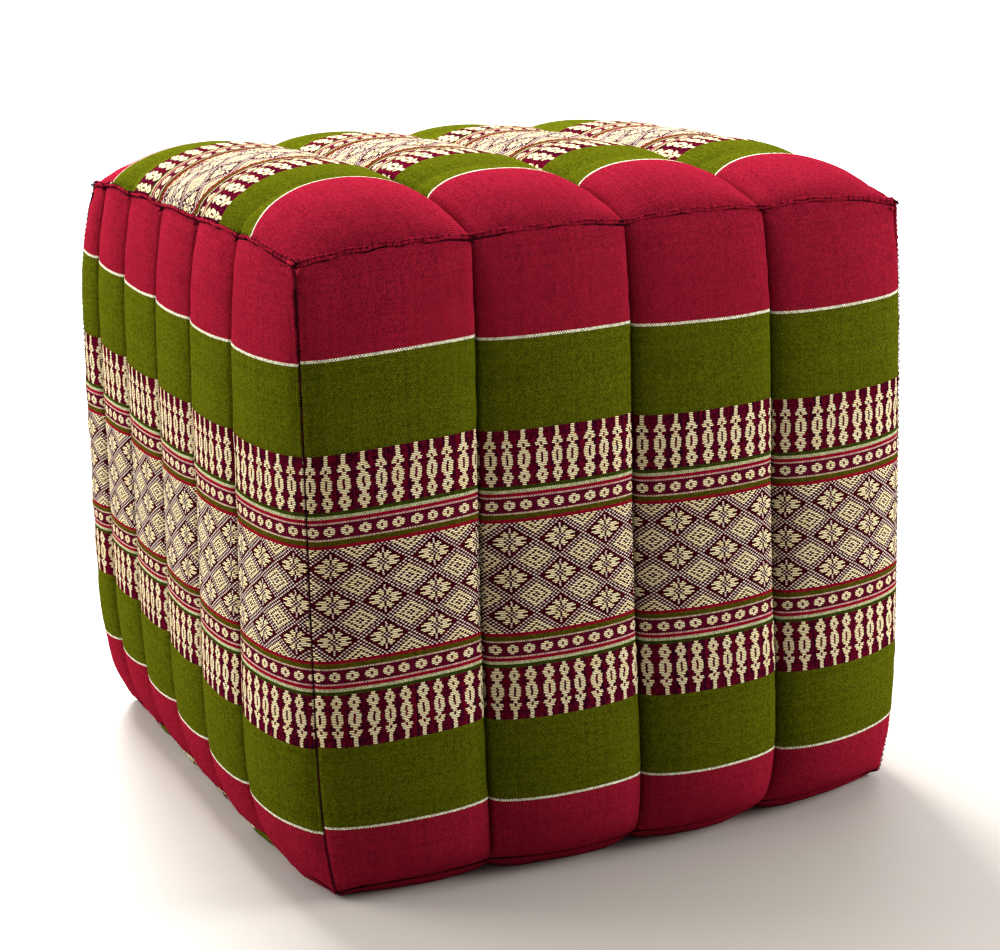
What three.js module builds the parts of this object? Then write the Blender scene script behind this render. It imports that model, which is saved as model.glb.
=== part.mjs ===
// Cube cushion: a stuffed, channel-quilted cover of woven cloth with overlocked edge seams.
// Millimetres, +Z up, the cushion standing on z = 0, its front towards -Y.
import * as THREE from "three";

// Cover, seam to seam
const HALF_WIDTH = 194; // seam half width at mid height
const LOW_CORNER = 4; // height of the lower corners above the floor
const HIGH_CORNER = 363; // height of the upper corners
const SIZE_OF_TURN = 5; // power that keeps a corner's tuck near the corner

// How far each upright seam is drawn in at its upper and lower end
const CORNERS = {
  frontLeft: { x: -1, y: -1, topX: 2, topY: 7, lowX: 8, lowY: -1 },
  frontRight: { x: 1, y: -1, topX: -4, topY: 12, lowX: 5, lowY: 8 },
  backLeft: { x: -1, y: 1, topX: 11.5, topY: 8, lowX: 18, lowY: 0 },
  backRight: { x: 1, y: 1, topX: 4, topY: 8, lowX: 8, lowY: 4 },
};

// Sewn channels, as shares of the half width from the middle, with the edges at -1 and 1
const CUTS_ACROSS = [-1, -0.48, 0.015, 0.49, 1];
const CUTS_DEEP = [-1, -0.59, -0.215, 0.145, 0.505, 0.815, 1];

// Each bulge is a dome over -1..1: 1 - |u| ** power, raised to a root. A high power is flat in the middle
// and turns down close to the edge, and a low root makes that turn steep.
const ROLL = { power: 2.4, root: 0.5 };
const SEAM_ROLL = { power: 2, root: 1 };
const SEAM_BOW = { power: 6, root: 1 };
const SIDE_ALONG = { power: 3, root: 0.7 };
const SIDE_UP = { power: 4, root: 0.6 };
const TOP_ALONG = { power: 2.8, root: 0.55 };
const FLAT = { power: 6, root: 0.5 };
const LEAN = { power: 4, root: 1 };

// Each side face: the seams it hangs from and how its filling stands out.
// topRise, topOut, lowOut: how far its top and bottom seams bow up and out between the corners
// foot: power of the bottom seam's bow, high where it is full right up to the corners
// crown, sag: how far the whole face stands out, and how much more it does towards its foot
// depth, deeper: height of the rolls over the channels, and how much it grows towards the foot
// skew, lowSkew: how much fuller the face and its foot are towards the far end
const SIDES = {
  front: {
    from: "frontLeft", to: "frontRight", axis: "y", sign: -1, cuts: CUTS_ACROSS,
    topRise: 7, topOut: 0, lowOut: 19, foot: 2.1, crown: 8, sag: 9, depth: 11, deeper: 4, skew: 0.9,
    lowSkew: 0.4,
  },
  back: {
    from: "backLeft", to: "backRight", axis: "y", sign: 1, cuts: CUTS_ACROSS,
    topRise: 6, topOut: 1, lowOut: 8, foot: 3, crown: 6, sag: 4, depth: 10, deeper: 2, skew: 0,
    lowSkew: 0,
  },
  left: {
    from: "frontLeft", to: "backLeft", axis: "x", sign: -1, cuts: CUTS_DEEP,
    topRise: 8, topOut: 3, lowOut: 4.3, foot: 4.4, crown: 4.3, sag: 2, depth: 5.5, deeper: 2, skew: -2,
    lowSkew: -1.15,
  },
  right: {
    from: "frontRight", to: "backRight", axis: "x", sign: 1, cuts: CUTS_DEEP,
    topRise: 7, topOut: 0, lowOut: 6, foot: 3, crown: 6, sag: 4, depth: 7, deeper: 1, skew: -0.3,
    lowSkew: 0,
  },
};
const LOW_RISE = 4.5; // how far the bottom seam bows up between its corners
const WAVE = 2.5; // how far a seam stands out at the middle of a roll
const WAVE_MEAN = 0.6; // the seam's lift is measured from this share of the wave
const LOW_WAVE = -0.8; // the bottom seam's wave against the top seam's
const HOLD = { lift: 6, topOut: 2, lowOut: 3, sag: 2 }; // powers: how close to a seam its place is felt
const CHANNEL_LEAN = 5; // sideways lean of the front and back channels, top against bottom

// Top and bottom faces
const TOP_CROWN = 5.5;
const TOP_ROLL = 17;
const TOP_SLOPE = -5; // the top falls a little towards the right
const TOP_FALL = 0.2; // share of the rolls' height that is lost towards the back
const SLOPE_TURN = 0.4; // and share of the slope
const BASE_CROWN = 11;
const BASE_ROLL = 14;

// Overlocked seam ridge
const SEAM_REACH = 1.6; // width of the ridge on each side of the seam
const SEAM_HEIGHT = 3;
const SEAM_BACK = 0.45; // the ridge's top is this share of its foot
const GAP = 0.9; // clearance between the ridge and the cover
const NOTCH = 1.2; // clearance over the seam line itself, as a share of GAP
const SEAM_LOWEST = 0.5; // the bottom ridge stays above the floor by this

// Mesh steps
const STEPS_X = 24;
const STEPS_Y = 24;
const STEPS_Z = 20;
const CROWDING = 0.7; // how far the rows crowd towards the seams
const ROUNDING = 1e-6; // keeps a column that lies on a cut in the roll after it

const { abs, min, max, sin, floor, round, PI } = Math;
const lerp = THREE.MathUtils.lerp;

// 1 in the middle and 0 at both ends of -1..1
const dome = (u, { power, root }) => max(1 - abs(u) ** power, 0) ** root;

// The pair of cuts that hold u, and the place of u between them as -1..1
function placeInRoll(u, cuts) {
  let i = 0;
  while (i < cuts.length - 2 && u > cuts[i + 1]) i += 1;
  return (2 * (u - cuts[i])) / (cuts[i + 1] - cuts[i]) - 1;
}

// Section of the rolls: 0 at every channel and edge, 1 on each crest
const rolls = (u, cuts) => dome(placeInRoll(u, cuts), ROLL);

// A point on an upright seam, v from -1 at the bottom to 1 at the top
function corner(name, v) {
  const c = CORNERS[name];
  const high = max(v, 0) ** SIZE_OF_TURN;
  const low = max(-v, 0) ** SIZE_OF_TURN;
  return new THREE.Vector3(
    c.x * (HALF_WIDTH - c.topX * high - c.lowX * low),
    c.y * (HALF_WIDTH - c.topY * high - c.lowY * low),
    lerp(LOW_CORNER, HIGH_CORNER, (v + 1) / 2),
  );
}

// How far the top or bottom seam of a side lifts and stands out at u
function rimLift(side, u, top) {
  const wave = WAVE * (dome(placeInRoll(u, side.cuts), SEAM_ROLL) - WAVE_MEAN);
  return (top ? side.topRise + wave : LOW_RISE + LOW_WAVE * wave) * dome(u, SEAM_BOW);
}
function rimOut(side, u, top) {
  const wave = WAVE * dome(placeInRoll(u, side.cuts), SEAM_ROLL) * dome(u, SEAM_BOW);
  if (top) return wave + side.topOut * dome(u, SEAM_BOW);
  return wave + side.lowOut * (1 + side.lowSkew * u) * dome(u, { power: side.foot, root: 1 });
}

// A point on the top or bottom seam of a side, without the channels' lean
function rim(sideName, u, top) {
  const side = SIDES[sideName];
  const v = top ? 1 : -1;
  const p = corner(side.from, v).lerp(corner(side.to, v), (u + 1) / 2);
  p[side.axis] += side.sign * rimOut(side, u, top);
  p.z += rimLift(side, u, top);
  return p;
}

// A point on a side face, u along the face and v up it
function sidePoint(sideName, u, v) {
  const side = SIDES[sideName];
  const p = corner(side.from, v).lerp(corner(side.to, v), (u + 1) / 2);
  const high = (1 + v) / 2;
  const low = (1 - v) / 2;
  p.z += high ** HOLD.lift * rimLift(side, u, true) + low ** HOLD.lift * rimLift(side, u, false);
  const full = dome(u, SIDE_ALONG) * dome(v, SIDE_UP);
  const out =
    high ** HOLD.topOut * rimOut(side, u, true) +
    low ** HOLD.lowOut * rimOut(side, u, false) +
    side.crown * full * (1 + side.skew * u) +
    side.sag * full * low ** HOLD.sag * (1 + side.lowSkew * u) +
    (side.depth - side.deeper * v) * rolls(u, side.cuts) * dome(v, FLAT);
  p[side.axis] += side.sign * out;
  if (side.axis === "y") p.x += CHANNEL_LEAN * v * dome(u, LEAN);
  return p;
}

// A point on the top or bottom face, u across the rolls and v along them
function levelPoint(u, v, top) {
  const a = (u + 1) / 2;
  const b = (v + 1) / 2;
  const p = new THREE.Vector3()
    .addScaledVector(rim("front", u, top), 1 - b)
    .addScaledVector(rim("back", u, top), b)
    .addScaledVector(rim("left", v, top), 1 - a)
    .addScaledVector(rim("right", v, top), a)
    .addScaledVector(rim("front", -1, top), -(1 - a) * (1 - b))
    .addScaledVector(rim("front", 1, top), -a * (1 - b))
    .addScaledVector(rim("back", -1, top), -(1 - a) * b)
    .addScaledVector(rim("back", 1, top), -a * b);
  const lean = CHANNEL_LEAN * dome(u, LEAN);
  if (top) {
    const height = TOP_CROWN * dome(u, FLAT) + TOP_ROLL * rolls(u, CUTS_ACROSS);
    const slope = TOP_SLOPE * u * dome(u, SEAM_BOW) * dome(v, SEAM_BOW);
    p.z += height * dome(v, TOP_ALONG) * (1 - TOP_FALL * b ** 2) + slope * (1 - SLOPE_TURN * b ** 2);
    p.x += lean;
  } else {
    p.z -= (BASE_CROWN * dome(u, FLAT) + BASE_ROLL * rolls(u, CUTS_ACROSS)) * dome(v, FLAT);
    p.z = max(p.z, 0); // its own weight presses it flat on the floor
    p.x -= lean;
  }
  return p;
}

// Even steps become columns that crowd towards the channels, and rows that crowd towards the seams
function column(c, cuts) {
  const place = ((c + 1) / 2) * (cuts.length - 1);
  const i = min(floor(place + ROUNDING), cuts.length - 2);
  return lerp(cuts[i], cuts[i + 1], (1 + sin((PI / 2) * (2 * (place - i) - 1))) / 2);
}
const row = (c) => lerp(c, sin((PI / 2) * c), CROWDING);

// A point of the cover from its place on a cube of -1..1 and the face that it belongs to
function coverPoint(place, face) {
  const u = column(place.x, CUTS_ACROSS);
  const w = column(place.y, CUTS_DEEP);
  const v = row(place.z);
  if (face.y) return sidePoint(face.y < 0 ? "front" : "back", u, v);
  if (face.x) return sidePoint(face.x < 0 ? "left" : "right", w, v);
  return levelPoint(u, w, face.z > 0);
}

function coverGeometry() {
  const geometry = new THREE.BoxGeometry(2, 2, 2, STEPS_X, STEPS_Y, STEPS_Z);
  const { position, normal } = geometry.attributes;
  const place = new THREE.Vector3();
  const face = new THREE.Vector3();
  for (let i = 0; i < position.count; i += 1) {
    place.fromBufferAttribute(position, i);
    face.fromBufferAttribute(normal, i).round();
    position.setXYZ(i, ...coverPoint(place, face).toArray());
  }
  return geometry;
}

// One five-sided section of a seam ridge. Its foot lies on the two faces that meet at the seam, and the
// places are on the cube of -1..1: the seam's own, and one step away from it on each face.
function ridgeSection(seam, steps, faces) {
  const edge = coverPoint(seam, faces[0]);
  const along = steps.map((step, i) => coverPoint(step, faces[i]).sub(edge).normalize());
  const outward = faces.reduce((sum, face) => sum.add(face), new THREE.Vector3()).normalize();
  const proud = along.map((t) => outward.clone().addScaledVector(t, -outward.dot(t)).normalize());
  const foot = along.map((t, i) =>
    edge.clone().addScaledVector(t, SEAM_REACH).addScaledVector(proud[i], GAP),
  );
  const back = along.map((t) =>
    edge.clone().addScaledVector(t, SEAM_REACH * SEAM_BACK).addScaledVector(outward, SEAM_HEIGHT),
  );
  const notch = edge.clone().addScaledVector(outward, GAP * NOTCH);
  const section = [notch, foot[0], back[0], back[1], foot[1]];
  section.forEach((p) => (p.z = max(p.z, SEAM_LOWEST)));
  return section;
}

// A closed skin over the sections of a bar, with a cap at each end
function skin(sections) {
  const sides = sections[0].length;
  const last = (sections.length - 1) * sides;
  const index = [];
  for (let start = 0; start < last; start += sides) {
    for (let k = 0; k < sides; k += 1) {
      const here = start + k;
      const next = start + ((k + 1) % sides);
      index.push(here, next, next + sides, here, next + sides, here + sides);
    }
  }
  for (let k = 1; k < sides - 1; k += 1) {
    index.push(0, k + 1, k);
    index.push(last, last + k, last + k + 1);
  }
  const numbers = sections.flat().flatMap((p) => p.toArray());
  return new THREE.BufferGeometry()
    .setAttribute("position", new THREE.Float32BufferAttribute(numbers, 3))
    .setIndex(index);
}

const FACE = {
  front: new THREE.Vector3(0, -1, 0),
  right: new THREE.Vector3(1, 0, 0),
  back: new THREE.Vector3(0, 1, 0),
  left: new THREE.Vector3(-1, 0, 0),
  top: new THREE.Vector3(0, 0, 1),
  bottom: new THREE.Vector3(0, 0, -1),
};
const STEP = new THREE.Vector3(2 / STEPS_X, 2 / STEPS_Y, 2 / STEPS_Z);

// One step away from a seam, off the face named by its direction
const stepFrom = (seam, face) => seam.clone().sub(face.clone().multiply(STEP));

// The ridge of one seam, between the two faces that meet there, a step short of the corner at each end
function seamGeometry(first, second) {
  const travel = first.clone().cross(second);
  const steps = round(2 / abs(travel.dot(STEP)));
  const sections = [];
  for (let k = 1; k < steps; k += 1) {
    const seam = first.clone().add(second).addScaledVector(travel, -1 + (2 * k) / steps);
    sections.push(ridgeSection(seam, [stepFrom(seam, second), stepFrom(seam, first)], [first, second]));
  }
  return skin(sections);
}

const cloth = new THREE.MeshStandardMaterial({ color: 0xa3152f, roughness: 0.85, metalness: 0 });
const thread = new THREE.MeshStandardMaterial({ color: 0x3a0f18, roughness: 0.9, metalness: 0 });

function piece(name, geometry, material) {
  const mesh = new THREE.Mesh(geometry, material.clone());
  mesh.name = name;
  return mesh;
}

const cushion = new THREE.Group();
cushion.add(piece("cushion", coverGeometry(), cloth));
const GOING_ROUND = ["front", "right", "back", "left"];
GOING_ROUND.forEach((name, i) => {
  const next = GOING_ROUND[(i + 1) % GOING_ROUND.length];
  cushion.add(
    piece("seam_top_" + name, seamGeometry(FACE.top, FACE[name]), thread),
    piece("seam_bottom_" + name, seamGeometry(FACE[name], FACE.bottom), thread),
    piece("seam_" + name + "_" + next, seamGeometry(FACE[name], FACE[next]), thread),
  );
});

// The filling makes the cover stand out unevenly, so the whole is moved to stand over its own middle
const middle = new THREE.Box3().setFromObject(cushion).getCenter(new THREE.Vector3());
cushion.position.set(-middle.x, -middle.y, 0);

export default cushion;
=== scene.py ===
"""Looks of the cube cushion: a firmly stuffed cover of banded woven cloth and its seams, in metres."""

import math

import bpy
import numpy as np
from mathutils import Matrix, Vector


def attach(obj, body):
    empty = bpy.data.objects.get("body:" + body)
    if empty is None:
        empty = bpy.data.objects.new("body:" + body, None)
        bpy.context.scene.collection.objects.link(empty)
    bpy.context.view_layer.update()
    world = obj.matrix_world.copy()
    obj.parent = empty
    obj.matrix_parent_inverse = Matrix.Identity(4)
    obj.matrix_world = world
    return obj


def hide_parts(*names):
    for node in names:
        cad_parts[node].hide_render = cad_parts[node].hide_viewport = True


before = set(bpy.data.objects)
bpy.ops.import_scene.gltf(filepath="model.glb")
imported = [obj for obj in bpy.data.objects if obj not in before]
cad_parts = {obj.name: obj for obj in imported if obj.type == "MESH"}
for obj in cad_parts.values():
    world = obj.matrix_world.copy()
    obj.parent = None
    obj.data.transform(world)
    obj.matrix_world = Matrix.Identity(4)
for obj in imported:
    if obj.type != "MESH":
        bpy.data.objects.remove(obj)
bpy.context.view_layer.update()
MM = 0.001

# The cover's surface, in millimetres: on each face u runs along it and v up or back, both from -1 to 1
HALF_WIDTH, LOW_CORNER, HIGH_CORNER = 194.0, 4.0, 363.0
CORNERS = {  # side of x and y, then how far the upright seam is drawn in: top x, top y, foot x, foot y
    "frontLeft": (-1, -1, 2, 7, 8, -1),
    "frontRight": (1, -1, -4, 12, 5, 8),
    "backLeft": (-1, 1, 11.5, 8, 18, 0),
    "backRight": (1, 1, 4, 8, 8, 4),
}
CORNER_TURN = 5  # power that keeps this to the ends of the seam
CUTS_ACROSS = np.array([-1, -0.48, 0.015, 0.49, 1])  # sewn channels of the top, bottom, front and back
CUTS_DEEP = np.array([-1, -0.59, -0.215, 0.145, 0.505, 0.815, 1])  # and of the left and right
# How each upright side bulges: rise, top_out and low_out are the bows of its top seam up and out and of its
# bottom seam out, and foot how full the last is. crown is the swell of the face and sag what it gains low
# down. depth is that of its rolls, and deeper how much they gain at the foot. skew and low_skew lean the
# crown, and the sag with the bottom bow, towards the end with the higher x or y.
SIDES = {
    "front": dict(ends=("frontLeft", "frontRight"), axis=1, sign=-1, cuts=CUTS_ACROSS, rise=7, top_out=0,
                  low_out=19, foot=2.1, crown=8, sag=9, depth=11, deeper=4, skew=0.9, low_skew=0.4),
    "back": dict(ends=("backLeft", "backRight"), axis=1, sign=1, cuts=CUTS_ACROSS, rise=6, top_out=1,
                 low_out=8, foot=3, crown=6, sag=4, depth=10, deeper=2, skew=0, low_skew=0),
    "left": dict(ends=("frontLeft", "backLeft"), axis=0, sign=-1, cuts=CUTS_DEEP, rise=8, top_out=3,
                 low_out=4.3, foot=4.4, crown=4.3, sag=2, depth=5.5, deeper=2, skew=-2, low_skew=-1.15),
    "right": dict(ends=("frontRight", "backRight"), axis=0, sign=1, cuts=CUTS_DEEP, rise=7, top_out=0,
                  low_out=6, foot=3, crown=6, sag=4, depth=7, deeper=1, skew=-0.3, low_skew=0),
}
# Powers of each dome: a higher first one flattens its middle, a lower second one steepens its ends
ROLL, SEAM_ROLL, SEAM_BOW, FLAT, LEAN = (2.4, 0.5), (2, 1), (6, 1), (6, 0.5), (4, 1)
SIDE_ALONG, SIDE_UP, TOP_ALONG, TUCK_FADE = (3, 0.7), (4, 0.6), (2.8, 0.55), (10, 1)
LIFT_FADE, TOP_FADE, LOW_FADE, SAG_FADE, FAR_FADE = 6, 2, 3, 2, 2  # powers: how soon each bow dies away
WAVE, WAVE_MEAN = 2.5, 0.6  # how far a seam waves at each roll, and the share of it below the seam's bow
LOW_RISE, LOW_WAVE = 4.5, -0.8  # bow of the bottom seams, and their waves as a share of those of the top
CHANNEL_LEAN = 5.0  # to one side at the top of the front and back, and to the other at their foot
TOP_CROWN, TOP_ROLL, TOP_SLOPE = 5.5, 17.0, -5.0  # height of the top's crown and rolls, and its tilt
TOP_FALL, SLOPE_FALL = 0.2, 0.4  # shares of the height and of the tilt that are lost towards the back
BASE_CROWN, BASE_ROLL = 11.0, 14.0
CREASE, CREASE_WIDTH, SINK, SINK_WIDTH = 3.0, 0.9, 1.0, 3.0  # how the stitching draws a channel in
PUCKER, PUCKER_TALL, PUCKER_WIDE, PUCKER_SEED, NOISE_FROM = 0.7, 8, 9, 40, 20  # beside the channels
GATHER, GATHER_LONG, GATHER_DEEP, GATHER_SLANT = 0.8, 9, 6.0, 0.4  # along the edges
GATHER_FROM, GATHER_SEED = 5, 50
MIDDLE_LEVEL = 175.8  # height of the middle of the cloth's bands on the upright sides


def dome(u, powers):
    """1 in the middle and 0 at both ends of -1..1."""
    return np.maximum(1 - np.abs(u) ** powers[0], 0) ** powers[1]


def ease(share):
    """A smooth step for a share from 0 to 1."""
    return share * share * (3 - 2 * share)


def place_in_roll(u, cuts):
    """Where u lies between the two channels beside it, from -1 to 1."""
    i = np.clip(np.searchsorted(cuts, u - 1e-9) - 1, 0, len(cuts) - 2)
    return np.clip(2 * (u - cuts[i]) / (cuts[i + 1] - cuts[i]) - 1, -1, 1)


def corner(name, v):
    """The line of an upright seam."""
    sx, sy, top_x, top_y, low_x, low_y = CORNERS[name]
    high, low = np.maximum(v, 0) ** CORNER_TURN, np.maximum(-v, 0) ** CORNER_TURN
    return np.stack([sx * (HALF_WIDTH - top_x * high - low_x * low),
                     sy * (HALF_WIDTH - top_y * high - low_y * low),
                     LOW_CORNER + (HIGH_CORNER - LOW_CORNER) * (v + 1) / 2], -1)


def between_corners(side, u, v):
    """Points of a flat upright side, before it is filled."""
    a, b = (corner(end, v) for end in side["ends"])
    return a + (b - a) * ((u + 1) / 2)[..., None]


def rim_lift(side, u, top):
    """How far the top or bottom seam of a side rides up."""
    wave = WAVE * (dome(place_in_roll(u, side["cuts"]), SEAM_ROLL) - WAVE_MEAN)
    return (side["rise"] + wave if top else LOW_RISE + LOW_WAVE * wave) * dome(u, SEAM_BOW)


def rim_out(side, u, top):
    """How far the top or bottom seam of a side bows out."""
    wave = WAVE * dome(place_in_roll(u, side["cuts"]), SEAM_ROLL) * dome(u, SEAM_BOW)
    if top:
        return wave + side["top_out"] * dome(u, SEAM_BOW)
    return wave + side["low_out"] * (1 + side["low_skew"] * u) * dome(u, (side["foot"], 1))


def rim(name, u, top):
    """The line of the top or bottom seam of a side."""
    side = SIDES[name]
    p = between_corners(side, u, np.full_like(u, 1.0 if top else -1.0))
    p[..., side["axis"]] += side["sign"] * rim_out(side, u, top)
    p[..., 2] += rim_lift(side, u, top)
    return p


def side_point(name, u, v):
    """Points of a filled upright side."""
    side = SIDES[name]
    p = between_corners(side, u, v)
    high, low = (1 + v) / 2, (1 - v) / 2
    p[..., 2] += high**LIFT_FADE * rim_lift(side, u, True) + low**LIFT_FADE * rim_lift(side, u, False)
    full = dome(u, SIDE_ALONG) * dome(v, SIDE_UP)
    rolls = dome(place_in_roll(u, side["cuts"]), ROLL) * dome(v, FLAT)
    out = high**TOP_FADE * rim_out(side, u, True) + low**LOW_FADE * rim_out(side, u, False)
    out += side["crown"] * full * (1 + side["skew"] * u)
    out += side["sag"] * full * low**SAG_FADE * (1 + side["low_skew"] * u)
    out += (side["depth"] - side["deeper"] * v) * rolls
    p[..., side["axis"]] += side["sign"] * out
    if side["axis"] == 1:
        p[..., 0] += CHANNEL_LEAN * v * dome(u, LEAN)
    return p


def level_point(u, v, top):
    """Points of the filled top or bottom, spanned between its four seams."""
    a, b = ((u + 1) / 2)[..., None], ((v + 1) / 2)[..., None]
    one = np.ones_like(u)
    p = ((1 - b) * rim("front", u, top) + b * rim("back", u, top)
         + (1 - a) * rim("left", v, top) + a * rim("right", v, top)
         - (1 - a) * (1 - b) * rim("front", -one, top) - a * (1 - b) * rim("front", one, top)
         - (1 - a) * b * rim("back", -one, top) - a * b * rim("back", one, top))
    rolls = dome(place_in_roll(u, CUTS_ACROSS), ROLL)
    lean = CHANNEL_LEAN * dome(u, LEAN)
    if top:
        far = ((1 + v) / 2) ** FAR_FADE
        height = (TOP_CROWN * dome(u, FLAT) + TOP_ROLL * rolls) * dome(v, TOP_ALONG)
        p[..., 2] += height * (1 - TOP_FALL * far)
        p[..., 2] += TOP_SLOPE * u * dome(u, SEAM_BOW) * dome(v, SEAM_BOW) * (1 - SLOPE_FALL * far)
        p[..., 0] += lean
    else:
        p[..., 2] -= (BASE_CROWN * dome(u, FLAT) + BASE_ROLL * rolls) * dome(v, FLAT)
        p[..., 2] = np.maximum(p[..., 2], 0)
        p[..., 0] -= lean
    return p


# The grid of each face, with its creases and puckers
STEPS = (120, 120, 112)  # across, deep, up
FACES = {  # axes along and up its grid, axis it looks along, and which end
    "front": (0, 2, 1, -1), "back": (0, 2, 1, 1), "left": (1, 2, 0, -1),
    "right": (1, 2, 0, 1), "top": (0, 1, 2, 1), "bottom": (0, 1, 2, -1),
}
ROW_CROWDING = 0.7  # share by which rows crowd towards the top and the foot
NOISE_CELLS = 64


def cuts_along(axis):
    return CUTS_DEEP if axis == 1 else CUTS_ACROSS


def grid_line(axis):
    """The steps along one axis of the cube, as places on the cover: closer by the channels and the edges."""
    c = np.linspace(-1, 1, STEPS[axis] + 1)
    if axis == 2:
        return c + (np.sin(np.pi / 2 * c) - c) * ROW_CROWDING
    cuts = cuts_along(axis)
    place = (c + 1) / 2 * (len(cuts) - 1)
    i = np.minimum(np.floor(place + 1e-6), len(cuts) - 2).astype(int)
    return cuts[i] + (cuts[i + 1] - cuts[i]) * (1 + np.sin(np.pi / 2 * (2 * (place - i) - 1))) / 2


def smooth_noise(a, b, seed):
    """Smooth noise of two coordinates, from -1 to 1."""
    grid = np.random.default_rng(seed).uniform(-1, 1, (NOISE_CELLS, NOISE_CELLS))
    ia, ib = np.floor(a).astype(int), np.floor(b).astype(int)
    share_a, share_b = ease(a - ia), ease(b - ib)

    def along_a(j):
        row = (ib + j) % NOISE_CELLS
        return grid[ia % NOISE_CELLS, row] * (1 - share_a) + grid[(ia + 1) % NOISE_CELLS, row] * share_a

    return along_a(0) * (1 - share_b) + along_a(1) * share_b


def tucked(name, u, v, p):
    """Draws each channel in to a sharp crease and puckers the cloth beside it and along the edges."""
    along, _, across, end = FACES[name]
    number = list(FACES).index(name)
    away = np.abs(u[..., None] - cuts_along(along)[1:-1]).min(-1) * HALF_WIDTH
    beside, height, fade = u * HALF_WIDTH, v * HALF_WIDTH, dome(v, TUCK_FADE)
    inward = fade * (CREASE * np.exp(-(away / CREASE_WIDTH) ** 2) + SINK * np.exp(-away / SINK_WIDTH))
    pucker = smooth_noise(height / PUCKER_TALL + NOISE_FROM, np.sign(u) + away / PUCKER_WIDE + NOISE_FROM,
                          PUCKER_SEED + number)
    inward += PUCKER * fade * pucker * np.exp(-away / PUCKER_WIDE)
    for edge, run in ((1 - np.abs(v), beside), (1 - np.abs(u), height)):
        depth = edge * HALF_WIDTH / GATHER_DEEP
        gather = smooth_noise(run / GATHER_LONG + NOISE_FROM, depth * GATHER_SLANT + GATHER_FROM,
                              GATHER_SEED + number)
        inward += GATHER * gather * depth * np.exp(1 - depth)
    p[..., across] -= end * inward
    if name == "bottom":
        p[..., 2] = np.maximum(p[..., 2], 0)
    return p


def face_grid(name):
    along, up, _, end = FACES[name]
    u, v = np.meshgrid(grid_line(along), grid_line(up), indexing="ij")
    p = level_point(u, v, end > 0) if name in ("top", "bottom") else side_point(name, u, v)
    return u, v, tucked(name, u, v, p)


# Where each point lies on the cloth, in millimetres. The bands stray from their levels as the panels bulge:
# by u across the face, k the level and w the place in a roll, all from about -1 to 1.
DRIFT_FROM, DRIFT_OVER = -10, 150  # level where k is 0, and how far above it k is 1
# Where the middle of each face lies along the bands
PHASE = {"front": 0.0, "back": 6.0, "left": 3.0, "right": 11.0, "top": 0.0, "bottom": 9.0}
CREST = 3 / 8  # share of the way across to a crest of the top, along which its bands are measured
NEAR_DRIFT, NEAR_FROM, NEAR_OVER = -20, -76, 40  # of the top's bands on the crests, towards the front
FAR_DRIFT, FAR_FROM, FAR_OVER = 18, 10, 110  # and towards the back
DRIFT_INNER = 0.35  # share of it on the rolls beside the first


def drift_front(u, k, w):
    level = 2.4 - 4.0 * k + 4.5 * k * k
    tilt = -2.5 - 2.1 * k
    bow = -1.8 + 1.3 * k - 0.8 * k * k
    twist = 2.7 + 1.1 * k
    return level + tilt * u + bow * u * u + twist * u**3 + 1.4 * w + 0.24 * w * w - 0.33 * w**3


def drift_left(u, k, w):
    return 3.5 - 5.1 * k + 4.9 * k * k + (3.7 - 2.7 * k + 5.0 * k * k) * u + 2.5 * k * u * u


def drift_hidden(u, k, w):
    return (2.5 - 4.0 * k + 4.0 * k * k) * (1 - u**4) + w


DRIFT = {"front": drift_front, "left": drift_left, "back": drift_hidden, "right": drift_hidden}


def arc(p, middle):
    """Length along a row of points, zero at the given one."""
    s = np.concatenate([[0], np.cumsum(np.linalg.norm(np.diff(p, axis=0), axis=1))])
    return s - s[middle]


def cloth_place(name, u, v, p):
    """s along the bands from the middle of the face, and t across them from the middle of the cloth."""
    s = arc(p[:, u.shape[1] // 2], u.shape[0] // 2)[:, None] + PHASE[name] + 0 * v
    if name in ("top", "bottom"):
        crest = int(u.shape[0] * CREST)
        t = arc(p[crest], 0)
        t = (t - np.interp(0, v[crest], t))[None, :] + 0 * u
        lead = np.where(u < CUTS_ACROSS[1], 1, DRIFT_INNER) * dome(place_in_roll(u, CUTS_ACROSS), SEAM_ROLL)
        near = ease(np.clip((NEAR_FROM - t) / NEAR_OVER, 0, 1))
        far = ease(np.clip((t - FAR_FROM) / FAR_OVER, 0, 1))
        return s, t + lead * (NEAR_DRIFT * near + FAR_DRIFT * far)
    t = p[..., 2] - MIDDLE_LEVEL
    return s, t - DRIFT[name](u, (t - DRIFT_FROM) / DRIFT_OVER, place_in_roll(u, SIDES[name]["cuts"]))


# The cover's mesh, in which neighbouring faces share the points of their seam
LAYOUT = {  # place of each face in the flat layout of the whole cover: left, low, width, height
    "front": (0.0, 0.0, 0.5, 0.3), "left": (0.5, 0.0, 0.5, 0.3), "back": (0.0, 0.3, 0.5, 0.3),
    "right": (0.5, 0.3, 0.5, 0.3), "top": (0.0, 0.6, 0.5, 0.3), "bottom": (0.5, 0.6, 0.3, 0.3),
}
LAYOUT_EDGE = 0.004
FIGURED_REACH, CLOTH_REACH = 90, 215  # of the figured bands and of the whole cloth, from its middle
PLAIN_SHARE = 0.17  # of the layout's height, for the plain bands on either side

grids = {name: face_grid(name) for name in FACES}
every = np.concatenate([p.reshape(-1, 3) for _, _, p in grids.values()])
middle = (every.min(0) + every.max(0)) / 2
middle[2] = 0

lattice = -np.ones(tuple(n + 1 for n in STEPS), int)  # number of the point at each place of the cube
points, quads, loops_uv, layout_uv, cloth_at, face_index = [], [], [], [], {}, {}


def point_number(key, p):
    """The number of the point at a place of the cube, which is added if it is new."""
    if lattice[key] < 0:
        lattice[key] = len(points)
        points.append(p)
    return lattice[key]


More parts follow.
